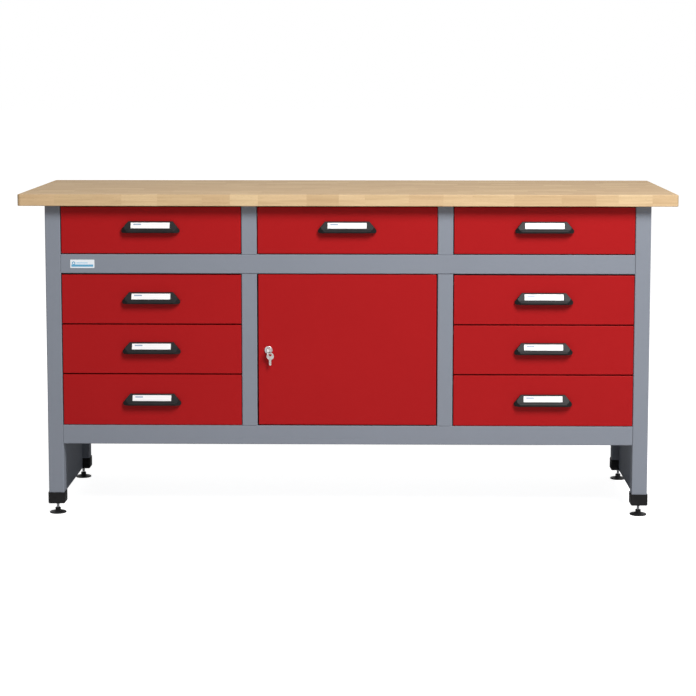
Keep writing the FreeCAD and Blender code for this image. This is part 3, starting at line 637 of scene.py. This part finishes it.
def split_ring(material):
    """The key ring: flattened wire wound twice, one turn lying on the other."""
    low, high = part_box("key_ring")
    centre = (low + high) / 2
    radius = (high.z - low.z) / 2 - RING_OUTER_TO_MIDDLE
    turns = RING_TURNS
    steps = 120
    edge = 0.42
    section = [(-0.5, -edge), (-edge, -0.5), (edge, -0.5), (0.5, -edge)]
    section += [(-wide, -thick) for wide, thick in section]
    points = []
    for i in range(steps + 1):
        t = i / steps
        a = math.radians(-60) + 2 * math.pi * turns * t
        # The two turns lie side by side, and the wire crosses over in the middle
        side = math.tanh((t - 0.5) * 14.0) * RING_WIRE_THICK * 0.53
        for wide, thick in section:
            r = radius + wide * RING_WIRE_WIDE
            points.append((r * math.cos(a), side + thick * RING_WIRE_THICK, r * math.sin(a)))
    mesh = mesh_from("split_ring", points, grid_faces(steps + 1, len(section)), 50.0)
    ring = new_piece("split_ring", mesh, material)
    ring.location = centre
    ring.rotation_euler = (0.0, 0.0, -math.radians(RING_YAW))
    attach(ring, "ring")
    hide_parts("key_ring")


# Stage
def floor():
    """A floor that looks almost as white as the background, with faint shadows."""
    bpy.ops.mesh.primitive_circle_add(vertices=96, radius=FLOOR_R, fill_type="NGON")
    disc = bpy.context.object
    disc.name = "floor"
    g = Graph("pale_floor")
    seen = g.node("LightPath").outputs["Is Camera Ray"]
    disc.data.materials.append(
        g.finish(
            Base_Color=rgba((1.0, 1.0, 1.0), FLOOR_TONE),
            Roughness=1.0,
            Specular_IOR_Level=0.0,
            Emission_Color=rgba((1.0, 1.0, 1.0)),
            Emission_Strength=g.math("MULTIPLY", FLOOR_GLOW, seen),
        )
    )


def sky():
    """White to look at, bright in reflections, and a soft light that comes mostly from the sides."""
    world = bpy.data.worlds.new("studio")
    bpy.context.scene.world = world
    world.use_nodes = True
    tree = world.node_tree
    light = tree.nodes["Background"]
    light.inputs["Color"].default_value = (1.0, 1.0, 1.0, 1.0)
    direction = tree.nodes.new("ShaderNodeTexCoord")
    parts = tree.nodes.new("ShaderNodeSeparateXYZ")
    level = tree.nodes.new("ShaderNodeMapRange")
    level.inputs["To Min"].default_value = SKY_LOW
    level.inputs["To Max"].default_value = SKY_HIGH
    tree.links.new(direction.outputs["Generated"], parts.inputs[0])
    tree.links.new(parts.outputs["Z"], level.inputs["Value"])
    path = tree.nodes.new("ShaderNodeLightPath")
    strength = tree.nodes.new("ShaderNodeMix")
    strength.inputs["B"].default_value = SKY_REFLECTED
    tree.links.new(path.outputs["Is Glossy Ray"], strength.inputs["Factor"])
    tree.links.new(level.outputs[0], strength.inputs["A"])
    tree.links.new(strength.outputs["Result"], light.inputs["Strength"])
    seen = tree.nodes.new("ShaderNodeBackground")
    seen.inputs["Color"].default_value = (1.0, 1.0, 1.0, 1.0)
    mix = tree.nodes.new("ShaderNodeMixShader")
    tree.links.new(path.outputs["Is Camera Ray"], mix.inputs[0])
    tree.links.new(light.outputs[0], mix.inputs[1])
    tree.links.new(seen.outputs[0], mix.inputs[2])
    tree.links.new(mix.outputs[0], tree.nodes["World Output"].inputs["Surface"])


def key_light():
    """A large soft box, up to the right in front of the bench."""
    data = bpy.data.lights.new("key", "AREA")
    data.shape = "RECTANGLE"
    data.size, data.size_y = KEY_SIZE
    data.energy = KEY_POWER
    lamp = bpy.data.objects.new("key", data)
    lamp.location = KEY_PLACE
    lamp.rotation_euler = (Vector(KEY_AIM) - Vector(KEY_PLACE)).to_track_quat("-Z", "Y").to_euler()
    bpy.context.scene.collection.objects.link(lamp)


def camera():
    data = bpy.data.cameras.new("camera")
    data.lens = CAMERA_LENS
    data.shift_y = CAMERA_SHIFT_Y
    seen_by = bpy.data.objects.new("camera", data)
    seen_by.location = CAMERA_PLACE
    seen_by.rotation_euler = (math.radians(90 - CAMERA_PITCH), 0.0, math.radians(CAMERA_YAW))
    bpy.context.scene.collection.objects.link(seen_by)
    bpy.context.scene.camera = seen_by


def main():
    materials = make_materials()
    dress_nodes(materials)
    soften_edges()
    label_cards(printed_label())
    levelling_feet(materials["black_plastic"], materials["zinc"])
    split_ring(materials["key_metal"])
    floor()
    sky()
    key_light()
    camera()
    bpy.context.scene.view_settings.view_transform = "Standard"


main()
